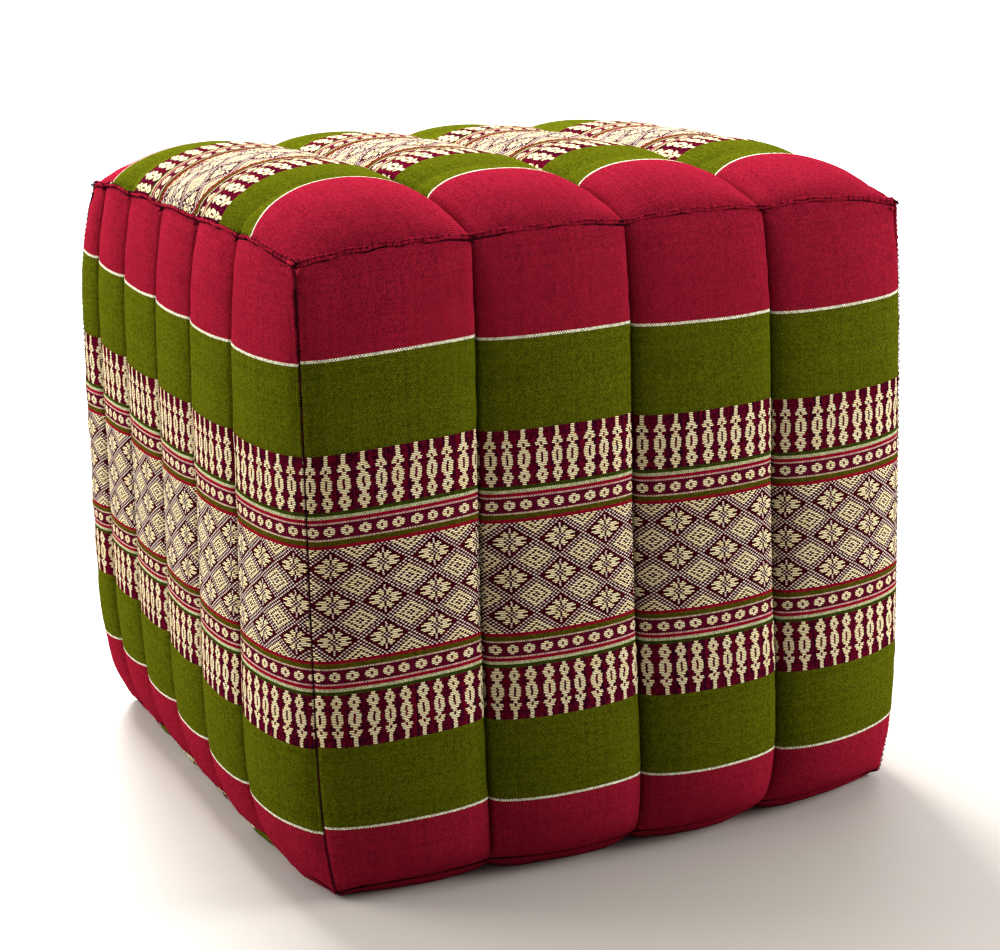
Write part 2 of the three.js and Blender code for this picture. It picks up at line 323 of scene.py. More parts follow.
def layout_place(name, s, t):
    """Spreads a face over its part of the layout, with more room for the figured bands than the plain."""
    left, low, width, height = LAYOUT[name]
    across = np.interp(t, [-CLOTH_REACH, -FIGURED_REACH, FIGURED_REACH, CLOTH_REACH],
                       [0, PLAIN_SHARE, 1 - PLAIN_SHARE, 1])
    return (left + LAYOUT_EDGE + (width - 2 * LAYOUT_EDGE) * (s - s.min()) / (s.max() - s.min()),
            low + LAYOUT_EDGE + (height - 2 * LAYOUT_EDGE) * across)


def add_face(name, u, v, p):
    along, up, across, end = FACES[name]
    index = np.zeros(u.shape, int)
    key = [0, 0, 0]
    key[across] = STEPS[across] if end > 0 else 0
    for i, j in np.ndindex(u.shape):
        key[along], key[up] = i, j
        index[i, j] = point_number(tuple(key), p[i, j] - middle)
    s, t = cloth_place(name, u, v, p - middle)
    layout_s, layout_t = layout_place(name, s, t)
    face_index[name] = index
    cloth_at[name] = dict(zip(index.ravel().tolist(), np.stack([s, t], -1).reshape(-1, 2)))
    turned_over = end * (1 if across == 1 else -1) > 0
    for i, j in np.ndindex(u.shape[0] - 1, u.shape[1] - 1):
        ring = [(i, j), (i + 1, j), (i + 1, j + 1), (i, j + 1)]
        if turned_over:
            ring.reverse()
        quads.append([index[k] for k in ring])
        loops_uv.extend((s[k], t[k]) for k in ring)
        layout_uv.extend((layout_s[k], layout_t[k]) for k in ring)


for name, grid in grids.items():
    add_face(name, *grid)

points = np.array(points) * MM
mesh = bpy.data.meshes.new("cover")
mesh.from_pydata(points.tolist(), [], quads)
cloth_layer = mesh.uv_layers.new(name="Cloth")
cloth_layer.data.foreach_set("uv", np.array(loops_uv, np.float32).ravel())
layout_layer = mesh.uv_layers.new(name="OFBake")
layout_layer.data.foreach_set("uv", np.array(layout_uv, np.float32).ravel())
layout_layer.active_render = True
mesh.polygons.foreach_set("use_smooth", [True] * len(mesh.polygons))
mesh.update()
mesh.validate()
cover = bpy.data.objects.new("cover", mesh)
bpy.context.scene.collection.objects.link(cover)


# Materials
def linear(r, g, b):
    """A colour as seen, 0 to 255, as the light it gives back."""
    return tuple((c / 12.92 if c <= 0.04045 else ((c + 0.055) / 1.055) ** 2.4)
                 for c in (r / 255, g / 255, b / 255)) + (1.0,)


class Number:
    """A number in a material's graph, which adds nodes as it is reckoned with."""

    def __init__(self, graph, socket):
        self.graph, self.socket = graph, socket

    def __add__(self, other):
        return self.graph.math("ADD", self, other)

    def __sub__(self, other):
        return self.graph.math("SUBTRACT", self, other)

    def __rsub__(self, other):
        return self.graph.math("SUBTRACT", other, self)

    def __mul__(self, other):
        return self.graph.math("MULTIPLY", self, other)

    def __truediv__(self, other):
        return self.graph.math("DIVIDE", self, other)

    def __gt__(self, other):
        return self.graph.math("GREATER_THAN", self, other)

    def __lt__(self, other):
        return self.graph.math("LESS_THAN", self, other)

    __radd__, __rmul__ = __add__, __mul__


class Graph:
    """A material and the nodes that reckon its colour and relief."""

    def __init__(self, name):
        self.material = bpy.data.materials.new(name)
        self.material.use_nodes = True
        self.nodes, self.links = self.material.node_tree.nodes, self.material.node_tree.links
        self.shader = self.nodes["Principled BSDF"]

    def add(self, kind, **settings):
        node = self.nodes.new(kind)
        for key, value in settings.items():
            setattr(node, key, value)
        return node

    def feed(self, socket, value):
        if isinstance(value, Number):
            self.links.new(value.socket, socket)
        elif isinstance(value, bpy.types.NodeSocket):
            self.links.new(value, socket)
        else:
            socket.default_value = value

    def math(self, kind, *values):
        node = self.add("ShaderNodeMath", operation=kind)
        for socket, value in zip(node.inputs, values):
            self.feed(socket, value)
        return Number(self, node.outputs[0])

    def vector(self, x, y, z=0.0):
        node = self.add("ShaderNodeCombineXYZ")
        for socket, value in zip(node.inputs, (x, y, z)):
            self.feed(socket, value)
        return node.outputs[0]

    def split(self, vector):
        node = self.add("ShaderNodeSeparateXYZ")
        self.feed(node.inputs[0], vector)
        return [Number(self, output) for output in node.outputs]

    def noise(self, x, y, z=0.0, detail=2.0):
        node = self.add("ShaderNodeTexNoise")
        self.feed(node.inputs["Vector"], self.vector(x, y, z))
        node.inputs["Scale"].default_value = 1.0
        node.inputs["Detail"].default_value = detail
        return Number(self, node.outputs["Fac"])

    def chance(self, x, y):
        """A number from 0 to 1 that differs from cell to cell."""
        node = self.add("ShaderNodeTexWhiteNoise", noise_dimensions="2D")
        self.feed(node.inputs["Vector"], self.vector(x, y))
        return Number(self, node.outputs["Value"])

    def ramp(self, value, low, high):
        """A smooth step from 0 at the first bound to 1 at the second."""
        node = self.add("ShaderNodeMapRange", interpolation_type="SMOOTHSTEP")
        for socket, given in zip(node.inputs, (value, low, high, 0.0, 1.0)):
            self.feed(socket, given)
        return Number(self, node.outputs[0])

    def mix(self, share, a, b, kind="MIX"):
        node = self.add("ShaderNodeMix", data_type="RGBA", blend_type=kind)
        self.feed(node.inputs[0], share)
        self.feed(node.inputs[6], a)
        self.feed(node.inputs[7], b)
        return node.outputs[2]

    def scaled(self, colour, share):
        node = self.add("ShaderNodeVectorMath", operation="SCALE")
        self.feed(node.inputs[0], colour)
        self.feed(node.inputs["Scale"], share)
        return node.outputs[0]

    def floor(self, value):
        return self.math("FLOOR", value)

    def part(self, value):
        """What is left over a whole number."""
        return self.math("FRACT", value)

    def fold(self, value, half):
        """The distance to the nearest multiple of twice the half."""
        return self.math("PINGPONG", value, half)

    def finish(self, colour, height, depth):
        """A matt surface of this colour, with a relief up to this depth in metres."""
        self.feed(self.shader.inputs["Base Color"], colour)
        bump = self.add("ShaderNodeBump")
        bump.inputs["Strength"].default_value = 1.0
        bump.inputs["Distance"].default_value = depth
        self.feed(bump.inputs["Height"], height)
        self.feed(self.shader.inputs["Normal"], bump.outputs[0])
        self.shader.inputs["Roughness"].default_value = 0.9
        self.shader.inputs["Specular IOR Level"].default_value = 0.0
        return self.material


# The figures of the weave, by the thread: # a long cream float, o a short pale stitch, . the ground.
# Each line runs from the middle of the figure outwards, and the figure is mirrored there.
LATTICE = (  # from the middle of the eight-pointed flower down to that of the nested diamonds
    ".o.##.....o",
    "o.#####..o.",
    ".#.###..o.o",
    ".##....o.o.",
    ".###..o.o.#",
    "o.#..o.o.##",
    "o...o.o.##.",
    "o..o.o.##.#",
    "..o.o.##.##",
    ".o.o.##.##.",
    "o.o.##.##.o",
)
SPIKE, BAR, HOLLOW = "###........", "######.....", "..######..."
TOTEM = tuple({"s": SPIKE, "b": BAR, "h": HOLLOW}[mark] for mark in "sssbhsbhhhbsbhbs" for _ in range(2))
BLOSSOM = (HOLLOW, "#######....", SPIKE, "...........")
LATTICE_TO, BLOSSOMS, TOTEMS, RED_FROM = 31.9, (37.6, 45.6), (52.5, 84.0), 135.0  # from the cloth's middle
BANDS = (  # from the middle of the cloth outwards: where each begins, its colour
    (0.0, (62, 8, 20)), (32.0, (118, 12, 30)), (33.9, (66, 60, 10)), (36.6, (170, 150, 126)),
    (37.5, (74, 9, 30)), (45.7, (172, 140, 128)), (46.6, (122, 10, 34)), (48.6, (160, 160, 122)),
    (50.4, (44, 54, 10)), (TOTEMS[0], (74, 9, 30)), (TOTEMS[1], (69, 73, 8)), (133.5, (196, 192, 168)),
    (RED_FROM, (130, 22, 39)),
)
YARNS = 1.5  # one yarn over and one under
COLUMN, FINE = 1.485, 0.45  # widths of one mark in the lattice and in the narrow bands
PICK, TOTEM_PICK, BLOSSOM_PICK = 1.055, 0.985, 0.95  # heights of one line
FIGURE = 9.9  # from one totem or blossom to the next

# How unevenly it is woven
REPEAT = 20 * COLUMN  # of the lattice along the bands
STRAY, DIP, BREATH = 3.0, 2.0, 0.45  # how far figures stray along the bands and across, and widen and narrow
# Noise over the cloth: its changes in a millimetre along and across the bands, and what sets it apart
STRAY_NOISE, DIP_NOISE = (0.03, 0.02, 3.1), (0.012, 0.01, 7.7)
CLOUD_NOISE, STREAK_NOISE = (0.02, 0.02, 9.0), (1.2, 0.2, 4.0)
SHIFT, RAGGED = 0.5, 0.6  # how far each line of the lattice and of the narrow figures is out, in millimetres
YARN_GRAIN, CROSSING_GRAIN, THREAD_GRAIN, CLOUD_GRAIN = 1.15, 0.9, 0.2, 0.3  # how much each shades the ground
STREAK_GRAIN, STREAK_FROM, STREAK_TO = 0.8, 0.6, 1.2
RED_CALM, RED_SHADE_AT, RED_SHADE_SHARE = 0.5, -0.8, 0.6  # the red is calmer, with a bluer shade in its dips
DARK_CROSSINGS, DARK_SHARE = 0.28, 0.8  # of the lattice's ground
FLOAT_SHADOW_SHARE, DARKEST = 0.85, 0.12  # painted shadow on the ground under a float, partly the darker crossing of its threads, and the least light on the ground
GAP_FROM, GAP_TO, SHORT_HALF = 0.5, 0.78, 0.38  # edges of a float across its line, and half of a short one
SHADE_EDGE_FROM, SHADE_EDGE_TO = 0.25, 0.85  # where painted shade darkens a float towards its edges, for the roundness of its thread
FLOAT_RELIEF, YARN_RELIEF = 0.9, 0.1  # shares of the depth
WEAVE_DEPTH, THREAD_DEPTH = 0.0004, 0.0003  # in metres
BLOTCHES, BLOTCH_FROM, BLOTCH_TO = 90.0, 0.42, 0.62  # of the thread's colour: changes in a metre, and levels
FIBRES, FIBRE_FROM, FIBRE_TO, FIBRE_SHARE = 1500.0, 0.62, 0.75, 0.5

# More colours as seen, of which each pair is two ends of a range
# The colour after the maroons is painted shadow on the ground between a float's lines, partly the darker
# crossing of its threads
MAROONS, PAINTED_FLOAT_SHADOW = ((38, 6, 26), (84, 7, 24)), (28, 6, 10)
LATTICE_SHADE, RED_SHADE = (26, 4, 5), (140, 96, 190)
CREAMS, PALES = ((255, 246, 206), (250, 232, 176)), ((255, 242, 234), (232, 212, 198))
# The first colour here is painted shade for a float's edges, for the roundness of its thread
PAINTED_FLOAT_EDGE_SHADE, THREADS, FIBRE = (186, 154, 100), ((24, 8, 14), (58, 10, 24)), (104, 40, 52)


def between(g, share, colours):
    return g.mix(share, *(linear(*colour) for colour in colours))


def cloth_noise(g, s, t, changes, detail=2.0):
    along, across, place = changes
    return g.noise(s * along, t * across, place, detail)


def chart(g, rows, down, out):
    """Reads a chart at the given line and place: whether there is a float, and whether it is a short one."""
    node = g.add("ShaderNodeValToRGB")
    node.color_ramp.interpolation = "CONSTANT"
    elements = node.color_ramp.elements
    scale = 2 ** len(rows[0])
    while len(elements) < len(rows):
        elements.new(0.5)
    for n in range(len(rows)):
        elements[n].position = n / len(rows)
    for n, marks in enumerate(rows):
        any_float = sum(2**k for k, mark in enumerate(marks) if mark != ".")
        short = sum(2**k for k, mark in enumerate(marks) if mark == "o")
        elements[n].color = (any_float / scale, short / scale, 0, 1)
    g.feed(node.inputs[0], (down + 0.5) / len(rows))
    split = g.add("ShaderNodeSeparateColor")
    g.feed(split.inputs[0], node.outputs[0])
    place = g.math("POWER", 2.0, out)
    marks = [g.floor((Number(g, socket) * scale + 0.5) / place) for socket in split.outputs[:2]]
    return [g.math("MODULO", mark, 2.0) > 0.5 for mark in marks]


def strayed(g, s, t):
    """A place on the cloth, which a hand weave lays a little off its true place."""
    s = (s + (cloth_noise(g, s, t, STRAY_NOISE) - 0.5) * STRAY
         + g.math("SINE", s * (2 * math.pi / REPEAT)) * BREATH)
    return s, t + (cloth_noise(g, s, t, DIP_NOISE) - 0.5) * DIP


def plain_weave(g, s, t, away):
    """The ground: its colour, and the yarns over and under, each thread and crossing a little different."""
    half = YARNS / 2
    weave = g.math("SINE", s * (2 * math.pi / YARNS)) * g.math("SINE", t * (2 * math.pi / YARNS))
    weft, warp = g.chance(g.floor(t / half), 1.0), g.chance(g.floor(s / half), 2.0)
    crossing = g.chance(g.floor(s / half), g.floor(t / half))
    grain = weave * YARN_GRAIN + (crossing - 0.5) * CROSSING_GRAIN + (weft + warp - 1.0) * THREAD_GRAIN
    in_red, in_totems = away > RED_FROM, (away > TOTEMS[0]) * (away < TOTEMS[1])

    ground = linear(*BANDS[0][1])
    for start, colour in BANDS[1:]:
        ground = g.mix(away > start, ground, linear(*colour))
    streak = warp * 0.5 + crossing * 0.5 + cloth_noise(g, s, t, STREAK_NOISE) * STREAK_GRAIN
    ground = g.mix(in_totems, ground, between(g, g.ramp(streak, STREAK_FROM, STREAK_TO), MAROONS))
    dark = (away < LATTICE_TO) * (crossing > 1 - DARK_CROSSINGS) * DARK_SHARE
    ground = g.mix(dark, ground, linear(*LATTICE_SHADE))
    shaded = g.mix(1.0, ground, linear(*RED_SHADE), "MULTIPLY")
    ground = g.mix(g.ramp(grain, 0.0, RED_SHADE_AT) * RED_SHADE_SHARE * in_red, ground, shaded)
    light = 1.0 + grain * (1.0 - in_red * RED_CALM)
    light = light + (cloth_noise(g, s, t, CLOUD_NOISE, detail=3.0) - 0.5) * CLOUD_GRAIN
    return g.scaled(ground, g.math("MAXIMUM", light, DARKEST)), weave, crossing


def figures(g, s, t, away):
    """The raised figures: their colour, with painted shade towards each float's edges, where it shows, where
    a float covers the ground, and its height.
    """
    rise = t / PICK
    shift = (g.chance(g.floor(rise + 0.5), 5.0) - 0.5) * SHIFT
    totem_rise = (TOTEMS[1] - away) / TOTEM_PICK
    blossom_rise = g.math("ABSOLUTE", away - sum(BLOSSOMS) / 2) / BLOSSOM_PICK
    figure = g.floor(s / FIGURE + 0.5)
    ragged = s + (g.chance(g.floor(away / PICK), figure) - 0.5) * RAGGED
    fine = g.fold(ragged / FINE, FIGURE / FINE / 2)
    in_blossoms, in_totems = ((away > low) * (away < high) for low, high in (BLOSSOMS, TOTEMS))
    last_line = len(LATTICE) - 1.0
    charts = (  # the chart, its line and place here, where it is woven, and how far through its line this is
        (LATTICE, g.floor(g.fold(rise, last_line) + 0.5), g.fold((s + shift) / COLUMN, last_line),
         away < LATTICE_TO, g.part(rise + 0.5)),
        (TOTEM, g.math("MAXIMUM", g.floor(totem_rise), 0.0), fine, in_totems, g.part(totem_rise)),
        (BLOSSOM, g.math("MINIMUM", g.floor(blossom_rise), len(BLOSSOM) - 1.0), fine, in_blossoms,
         g.part(blossom_rise)),
    )
    shown, floated, short, lift, edge = 0.0, 0.0, 0.0, 0.0, 0.0
    for rows, down, place, inside, pick in charts:
        out = g.floor(place + 0.5)
        is_float, is_short = chart(g, rows, down, out)
        beside = g.math("ABSOLUTE", place - out)
        is_float = is_float * inside * (1.0 - is_short * (beside > SHORT_HALF))
        across = g.math("ABSOLUTE", pick * 2.0 - 1.0)
        shown = is_float * (1.0 - g.ramp(across, GAP_FROM, GAP_TO)) + shown
        floated = is_float + floated
        short = is_float * is_short + short
        edge = is_float * across + edge
        lift = is_float * g.math("SQRT", g.math("MAXIMUM", 1.0 - across * across, 0.0)) + lift
    tone = g.chance(g.floor(rise), figure)
    colour = g.mix(short, between(g, tone, CREAMS), between(g, tone, PALES))
    # Each float is painted darker towards its edges: painted shade for the roundness of its thread
    return g.mix(g.ramp(edge, SHADE_EDGE_FROM, SHADE_EDGE_TO), colour, linear(*PAINTED_FLOAT_EDGE_SHADE)), shown, floated, lift


def cloth():
    g = Graph("woven_cloth")
    s, t = strayed(g, *g.split(g.add("ShaderNodeUVMap", uv_map="Cloth").outputs[0])[:2])
    away = g.math("ABSOLUTE", t)
    ground, weave, crossing = plain_weave(g, s, t, away)
    cream, shown, floated, lift = figures(g, s, t, away)
    # Painted shadow on the ground that shows between a float's lines, partly the darker crossing of its
    # threads
    ground = g.mix(floated * FLOAT_SHADOW_SHARE, ground, linear(*PAINTED_FLOAT_SHADOW))
    height = lift * FLOAT_RELIEF + weave * YARN_RELIEF + (crossing - 0.5) * YARN_RELIEF
    return g.finish(g.mix(shown, ground, cream), height, WEAVE_DEPTH)


def thread():
    g = Graph("overlock_thread")
    place = g.split(g.add("ShaderNodeTexCoord").outputs["Object"])
    broad, fine = (g.noise(*(part * changes for part in place)) for changes in (BLOTCHES, FIBRES))
    colour = between(g, g.ramp(broad, BLOTCH_FROM, BLOTCH_TO), THREADS)
    colour = g.mix(g.ramp(fine, FIBRE_FROM, FIBRE_TO) * FIBRE_SHARE, colour, linear(*FIBRE))
    return g.finish(colour, fine, THREAD_DEPTH)


MATERIALS = {"cloth": cloth(), "thread": thread()}
mesh.materials.append(MATERIALS["cloth"])
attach(cover, "root")
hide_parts("cushion")

# Overlocked seams, in millimetres. A wavering size has its mean, how far it wavers, and over what length.
AXIS = {name: np.eye(3)[across] * end for name, (_, _, across, end) in FACES.items()}
RING = ("front", "right", "back", "left")
RAISED_STEP, DRAWN_STEP, STITCH_STEP, FOOT_STEP = 0.7, 0.8, 0.65, 1.5  # between points along each
CORE_UP, CORE_SIDE = (0.6, 0.7, 12), (0, 0.8, 10)
EDGE_UP, EDGE_SIDE, EDGE_RADIUS = (0.35, 0.5, 6), (0.85, 0.4, 5), (0.95, 0.25, 4)
GROOVE_SIDE, GROOVE_RADIUS, GROOVE_DOWN = (-1.8, 0.4, 7), (0.55, 0.25, 3), -0.5
FOLD_SIDE, FOLD_UP, FOLD_RADIUS = -1.3, 0.1, (1.15, 0.15, 9)
SLIT_SIDE, SLIT_UP, SLIT_RADIUS = 0.25, 0.25, (0.6, 0.15, 5)
SWAY, SWAY_LENGTH = 0.25, 7
LOOSE_FROM, LOOSE_SWAY, LOOSE_SLIT = 0.9, 0.9, 0.8  # an upright seam loosens from this share of its height
TOP_WINDING, TOP_WINDING_UP = dict(high=1.3, wide=1.8, pitch=4.2, radius=0.22), 0.2
NEAR_WINDING, UPRIGHT_WINDING_UP = dict(high=0.9, wide=1.3, pitch=3.4, radius=0.25), 0.9
UPRIGHT_WINDING = dict(NEAR_WINDING, radius=0.36)
NEAR_WOUND_FROM = 0.86  # the near upright seam is wound at its top only
WINDING_SLIP, WINDING_VARIES, SLIP_LENGTH, HIGH_LENGTH, WIDE_LENGTH = 0.45, 0.3, 8, 3, 4
FOOT_UP, FOOT_OUT, FOOT_THREAD_OUT, FOOT_THREAD_RADIUS = 4.0, 1.6, 0.5, 0.9
FOOT_STITCH = dict(length=2.6, radius=0.38, sides=5)
CHANNEL_STITCH = dict(length=1.3, radius=0.28, sides=4)
STITCH_GAP, STITCH_OUT, STITCH_SLANT, CHANNEL_OUT = 1.9, 0.15, 0.5, 1.1
STITCH_VARIES, GAP_VARIES = (0.7, 1.3), (0.6, 1.4)
KNOT, KNOT_OUT = dict(spread=2.5, count=90, radius=0.36), 0.8
KNOT_END, KNOT_END_REACH = 0.1, 1.6  # share of a knot's thread that is a loose end, and how far it strays
CORNER_KNOTS = (0.8, dict(spread=2.9, count=130, radius=0.34)), (0, dict(spread=2.2, count=90, radius=0.4))
BUNCHED, BUNCHED_AT, BUNCHED_STEP = dict(spread=2.6, count=60, radius=1.0), 180, 1.5  # cloth of the red band
STRAND_REACH, STRAND_OUT, STRAND_UP, STRAND_RADIUS, STRAND_POINTS = 5, 3, 0.5, 0.2, 24
STRAND_BEND, STRAND_WAVES, STRAND_LOOSE = 1.5, 3, 1.3
SEEDS = dict(top=100, upright=200, foot=300, knot=400, corner=500, way=520, strand=530, bunch=560,
             channel=600)


def seam_line(first, second):
    """Along the seam of two faces: points, cloth places on each face, and the ways outwards and across."""
    a, b = AXIS[first], AXIS[second]
    travel = int(np.flatnonzero(a + b == 0)[0])
    key = [0 if (a + b)[k] < 0 else STEPS[k] for k in range(3)]
    indices = []
    for n in range(STEPS[travel] + 1):
        key[travel] = n
        indices.append(int(lattice[tuple(key)]))
    cloths = [np.array([cloth_at[face][k] for k in indices]) for face in (first, second)]
    return points[indices], cloths, (a + b) / math.sqrt(2), (a - b) / math.sqrt(2)


def even(path, step, *others):
    """Points at even steps along a path, how far along each is, and other rows of values there."""
    length = arc(path, 0)
    places = np.linspace(0, length[-1], max(int(length[-1] / (step * MM)), 2) + 1)
    spread = [np.stack([np.interp(places, length, row) for row in rows.T], 1) for rows in (path, *others)]
    return (spread[0], places, *spread[1:])


def wander(places, scale, seed):
    return smooth_noise(places / (scale * MM), np.full_like(places, seed % 17 + 0.5), seed)


def wavering(places, size, seed):
    mean, waver, scale = size
    return (mean + waver * wander(places, scale, seed)) * MM


def moved(path, way, distance):
    """A path moved one way, by the same distance everywhere or by one for each point."""
    return path + np.broadcast_to(distance, len(path))[:, None] * way


def tube(path, radius, sides, on_cloth=None):
    """A closed tube of round section along a path, and the place of each of its points on the cloth."""
    n = len(path)
    tangent = np.gradient(path, axis=0)
    tangent /= np.linalg.norm(tangent, axis=1)[:, None] + 1e-12
    other = np.cross(tangent, (0.31, 0.52, 0.79))
    other /= np.linalg.norm(other, axis=1)[:, None] + 1e-12
    third = np.cross(tangent, other)
    angle = np.arange(sides) * 2 * math.pi / sides
    ring = np.cos(angle)[None, :, None] * other[:, None] + np.sin(angle)[None, :, None] * third[:, None]
    rings = path[:, None] + np.broadcast_to(radius, n)[:, None, None] * ring
    faces = []
    for i in range(n - 1):
        for k in range(sides):
            here, after = i * sides + k, i * sides + (k + 1) % sides
            faces.append((here, after, after + sides, here + sides))
    faces.append(tuple(reversed(range(sides))))
    faces.append(tuple(range((n - 1) * sides, n * sides)))
    cloth_places = np.zeros((n, sides, 2))
    if on_cloth is not None:
        run = np.abs(on_cloth[-1] - on_cloth[0])
        cloth_places += on_cloth[:, None]
        cloth_places[..., 1 if run[0] > run[1] else 0] += np.abs(angle - math.pi)
    return rings.reshape(-1, 3), faces, cloth_places.reshape(-1, 2)


def wound(core, places, outward, across, seed, high, wide, pitch, radius):
    """Overlocking thread wound round an edge at an uneven pitch."""
    turn = 2 * math.pi * (places / (pitch * MM) + WINDING_SLIP * wander(places, SLIP_LENGTH, seed))
    high = high * (1 + WINDING_VARIES * wander(places, HIGH_LENGTH, seed + 1)) * MM
    wide = wide * (1 + WINDING_VARIES * wander(places, WIDE_LENGTH, seed + 2)) * MM
    path = moved(moved(core, outward, high * np.cos(turn)), across, wide * np.sin(turn))
    return tube(path, radius * MM, 4)


def raised_seam(first, second, seed):
    """Two raw edges side by side, standing up and wavy, with a dark line in the groove that is partly thread
    and partly painted shade for the shadow under the edges, and thread wound round them.
    """
    line, cloths, outward, across = seam_line(first, second)
    path, places, *cloths = even(line, RAISED_STEP, *cloths)
    core = moved(path, outward, wavering(places, CORE_UP, seed))
    core = moved(core, across, wavering(places, CORE_SIDE, seed + 1))
    edges = []
    for side, on_cloth in zip((1, -1), cloths):
        edge = moved(core, outward, wavering(places, EDGE_UP, seed + 4 + side))
        edge = moved(edge, across, side * wavering(places, EDGE_SIDE, seed + 7 + side))
        edges.append(tube(edge, wavering(places, EDGE_RADIUS, seed + 10 + side), 7, on_cloth))
    # The dark line in the groove: partly thread, partly painted shade for the shadow under the raised edges
    groove = moved(core, across, wavering(places, GROOVE_SIDE, seed + 12))
    groove = moved(groove, outward, GROOVE_DOWN * MM)
    core = moved(core, outward, TOP_WINDING_UP * MM)
    return edges, [tube(groove, wavering(places, GROOVE_RADIUS, seed + 13), 5),
                   wound(core, places, outward, across, seed + 14, **TOP_WINDING)]


def drawn_seam(first, second, seed, wound_from, winding):
    """A fold of the second face's cloth along the edge, with a dark sunk line beside it that is partly its
    thread and partly painted shade for the shadow in the crease.
    """
    line, cloths, outward, across = seam_line(first, second)
    path, places, *cloths = even(line, DRAWN_STEP, *cloths)
    share = places / places[-1]
    loose = np.clip((share - LOOSE_FROM) / (1 - LOOSE_FROM), 0, 1)
    sway = (SWAY + LOOSE_SWAY * loose) * wander(places, SWAY_LENGTH, seed)
    fold = moved(path, across, (FOLD_SIDE + sway) * MM)
    fold = moved(fold, outward, (FOLD_UP + LOOSE_SWAY * loose) * MM)
    # The dark sunk line: partly thread, partly painted shade for the shadow in the crease beside the fold
    slit = moved(path, across, (SLIT_SIDE + sway / 2) * MM)
    slit = moved(slit, outward, (SLIT_UP + LOOSE_SLIT * loose) * MM)
    top = share > wound_from
    core = moved(path, outward, UPRIGHT_WINDING_UP * MM)
    return ([tube(fold, wavering(places, FOLD_RADIUS, seed + 1), 8, cloths[1])],
            [tube(slit, wavering(places, SLIT_RADIUS, seed + 2), 6),
             wound(core[top], places[top], outward, across, seed + 3, **winding)])


def stitches(path, outward, seed, length, radius, sides):
    """A row of short stitches that zigzag a little along a path."""
    path, places = even(path, STITCH_STEP)
    rng = np.random.default_rng(seed)
    found, start = [], 0.0
    while start < places[-1] - length * MM:
        chosen = (places >= start) & (places <= start + length * rng.uniform(*STITCH_VARIES) * MM)
        if chosen.sum() > 2:
            slant = np.linspace(-1, 1, chosen.sum()) * rng.uniform(-STITCH_SLANT, STITCH_SLANT) * MM
            stitch = moved(moved(path[chosen], outward, STITCH_OUT * MM), np.array((0, 0, 1)), slant)
            found.append(tube(stitch, radius * MM, sides))
        start += (length + STITCH_GAP * rng.uniform(*GAP_VARIES)) * MM
    return found


def tangle(centre, seed, spread, count, radius):
    """A knot of thread with loose ends."""
    rng = np.random.default_rng(seed)
    k = np.linspace(0, 1, count)[:, None]
    path = sum(np.sin(2 * math.pi * (rng.uniform(1, 5, 3) * k + rng.uniform(0, 1, 3))) / 2 for _ in range(2))
    first, last = rng.uniform(-1, 1, (2, 3)) * KNOT_END_REACH
    path = path + first * np.maximum(0, KNOT_END - k) / KNOT_END
    path = path + last * np.maximum(0, k - (1 - KNOT_END)) / KNOT_END
    return tube(centre + path * spread * MM, radius * MM, 4)


def strand(start, along, seed):
    """A loose thread from a point, its whole way along in millimetres."""
    k = np.linspace(0, 1, STRAND_POINTS)
    path = start + np.outer(k, along) * MM
    for axis in range(3):
        noise = smooth_noise(k * STRAND_WAVES, np.full(STRAND_POINTS, axis + 0.5), seed)
        path[:, axis] += STRAND_BEND * MM * noise * np.sin(math.pi * k / STRAND_LOOSE)
    return tube(path, STRAND_RADIUS * MM, 4)


def corner_ends(place, x, y, n):
    """What hangs together at a top corner: knots and loose ends of thread, and bunched ends of cloth."""
    ends = [tangle(place + np.array((0, 0, up)) * MM, SEEDS["corner"] + 10 * k + n, **knot)
            for k, (up, knot) in enumerate(CORNER_KNOTS)]
    for k in range(4):
        way = np.random.default_rng(SEEDS["way"] + 10 * n + k).uniform(-1, 1, 3) * STRAND_REACH
        way = way + np.array((x, y, STRAND_UP)) * STRAND_OUT
        ends.append(strand(place, way, SEEDS["strand"] + 10 * n + k))
    bunched = []
    for k in range(3):
        centre = place + np.array((-x, -y, -BUNCHED_STEP * k)) * MM
        p, faces, on_cloth = tangle(centre, SEEDS["bunch"] + 10 * n + k, **BUNCHED)
        bunched.append((p, faces, on_cloth + np.array((0, BUNCHED_AT))))
    return ends, bunched


def foot_seam(name, n):
    """Thread along the bottom seam of a side, and a row of stitches just above it."""
    line, _, outward, _ = seam_line(name, "bottom")
    raised = moved(moved(line, np.array((0, 0, 1)), FOOT_UP * MM), AXIS[name], FOOT_OUT * MM)
    along = moved(even(line, FOOT_STEP)[0], outward, FOOT_THREAD_OUT * MM)
    row = stitches(raised, AXIS[name], SEEDS["foot"] + n, **FOOT_STITCH)
    return row + [tube(along, FOOT_THREAD_RADIUS * MM, 5)]


def top_knots(name, n):
    """A knot where each channel of a side meets its top seam, a little below and outside the line."""
    line = seam_line("top", name)[0]
    way = (AXIS[name] + AXIS["bottom"]) / math.sqrt(2) + AXIS[name]
    rolls = len(SIDES[name]["cuts"]) - 1
    places = {k: line[k * (len(line) - 1) // rolls] + way * (KNOT_OUT * MM) for k in range(1, rolls)}
    return [tangle(place, SEEDS["knot"] + 10 * n + k, **KNOT) for k, place in places.items()]


def channel_rows():
    """Small dark stitches in every channel of every face, sunk in its crease, where they are partly stitching
    and partly painted shade for the shadow where the rolls meet.
    """
    rows = []
    for name, index in face_index.items():
        rolls = len(cuts_along(FACES[name][0])) - 1
        for k in range(1, rolls):
            lane = points[index[k * (index.shape[0] - 1) // rolls, 2:-2]]
            # Stitches sunk in the crease: partly real stitching, partly painted shade for the crease's shadow
            lane = moved(lane, AXIS[name], CHANNEL_OUT * MM)
            rows += stitches(lane, AXIS[name], SEEDS["channel"] + k + 10 * rolls, **CHANNEL_STITCH)
    return rows


